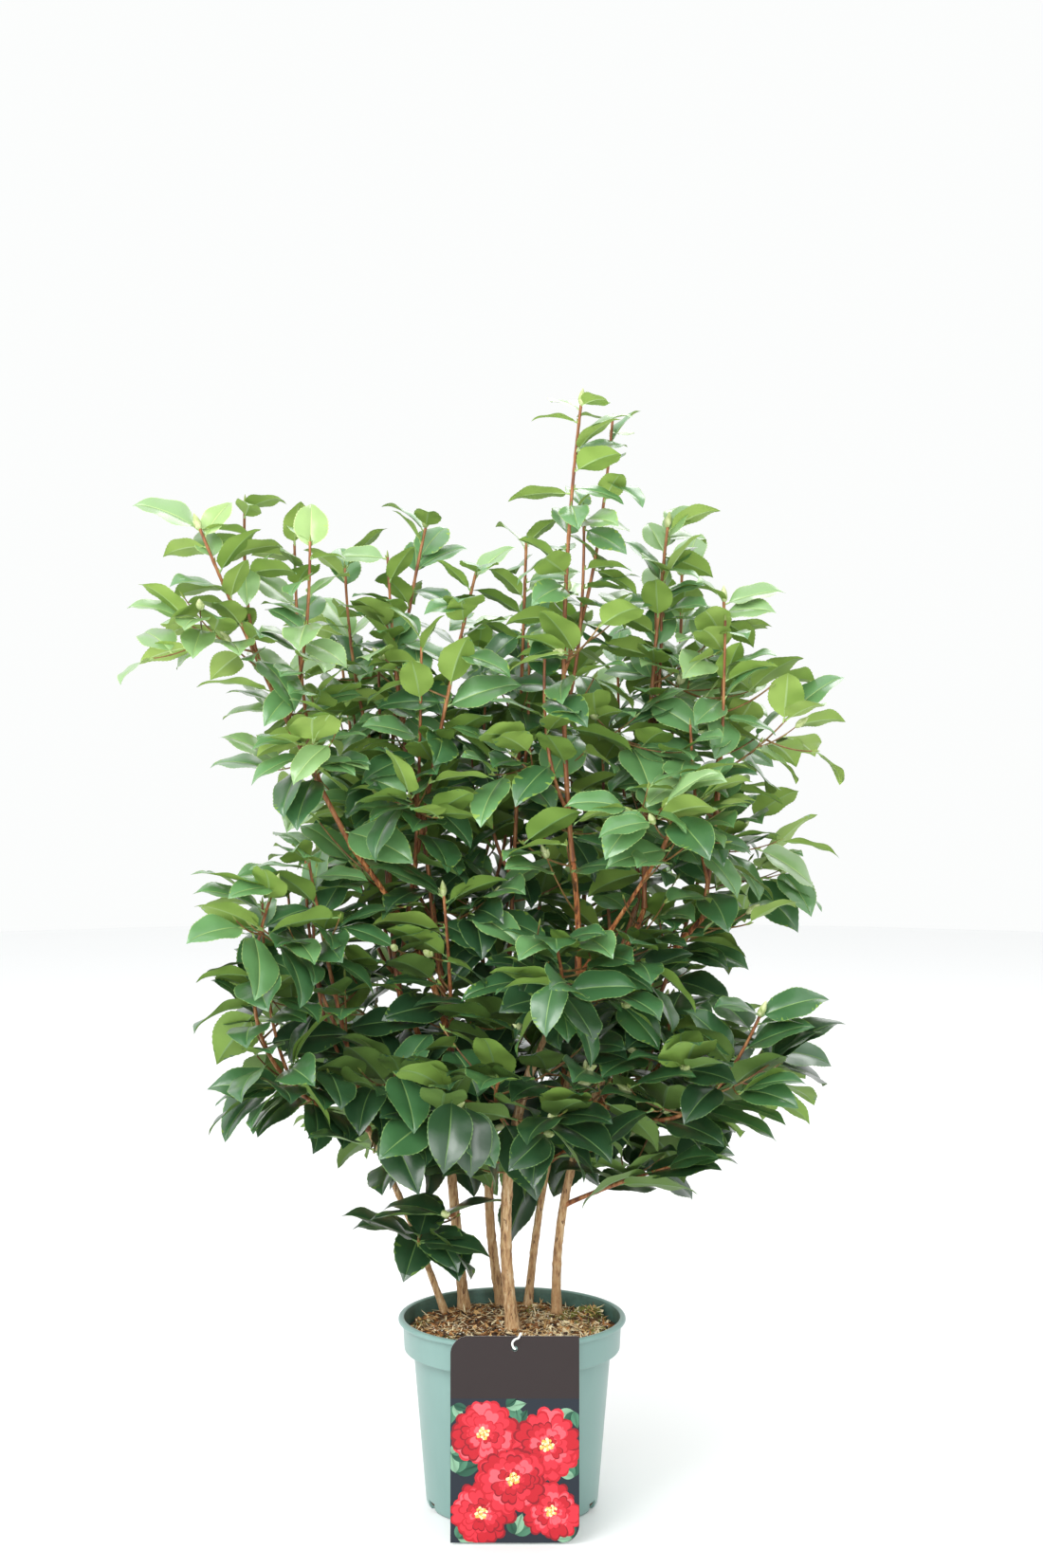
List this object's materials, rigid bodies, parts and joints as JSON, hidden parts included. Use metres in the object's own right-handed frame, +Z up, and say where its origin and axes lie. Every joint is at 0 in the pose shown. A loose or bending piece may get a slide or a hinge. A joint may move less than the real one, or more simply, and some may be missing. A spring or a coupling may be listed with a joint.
{
  "type": "potted camellia shrub",
  "caption": "Young evergreen shrub with several upright woody stems and glossy toothed leaves, standing in a round plastic nursery pot with a picture card hooked on its rim.",
  "frame": {"origin": "middle of the pot's flat underside, on the surface that it stands on", "axes": "+Z up along the plant's height, -Y towards the front where the picture card hangs, +X to the right of it"},
  "size_m": [0.6885, 0.5316, 1.091],
  "materials": {
    "pot_plastic": "smooth dark green moulded plastic with a soft sheen",
    "potting_mix": "brown bark fibre with paler chips and some moss",
    "printed_card": "satin printed plastic card",
    "white_plastic": "smooth white plastic",
    "bark": "thin tan bark with fine cracks",
    "foliage": "glossy deep green leaves on red-brown twigs"
  },
  "bodies": {
    "root": {"pot": "pot_plastic", "potting_mix": "potting_mix", "label_card": "printed_card", "label_hook": "white_plastic", "stem_centre": "bark", "stem_left": "bark", "stem_front_left": "bark", "stem_right": "bark", "stem_back_left": "bark", "stem_back_right": "bark", "bough_left_high": "bark", "bough_left_low": "bark", "bough_top": "bark", "bough_centre_right": "bark", "bough_centre_front": "bark", "bough_front_right": "bark", "bough_right": "bark", "shoot_top": "foliage", "shoot_left_long": "foliage", "shoot_far_left": "foliage", "shoot_left": "foliage", "shoot_left_inner": "foliage", "shoot_left_rear": "foliage", "shoot_centre_left": "foliage", "shoot_centre": "foliage", "shoot_right_inner": "foliage", "shoot_right": "foliage", "shoot_right_rear": "foliage", "shoot_back_left_inner": "foliage", "shoot_back_left": "foliage", "shoot_back": "foliage", "shoot_back_right": "foliage", "spray_centre_front": "foliage", "spray_front_right": "foliage", "spray_low_right": "foliage", "spray_low_left": "foliage", "spray_inner_left": "foliage", "skirt_left": "foliage", "skirt_centre": "foliage", "skirt_front": "foliage", "skirt_right": "foliage", "skirt_right_back": "foliage", "skirt_back": "foliage", "skirt_left_back": "foliage"}
  },
  "joints": []
}
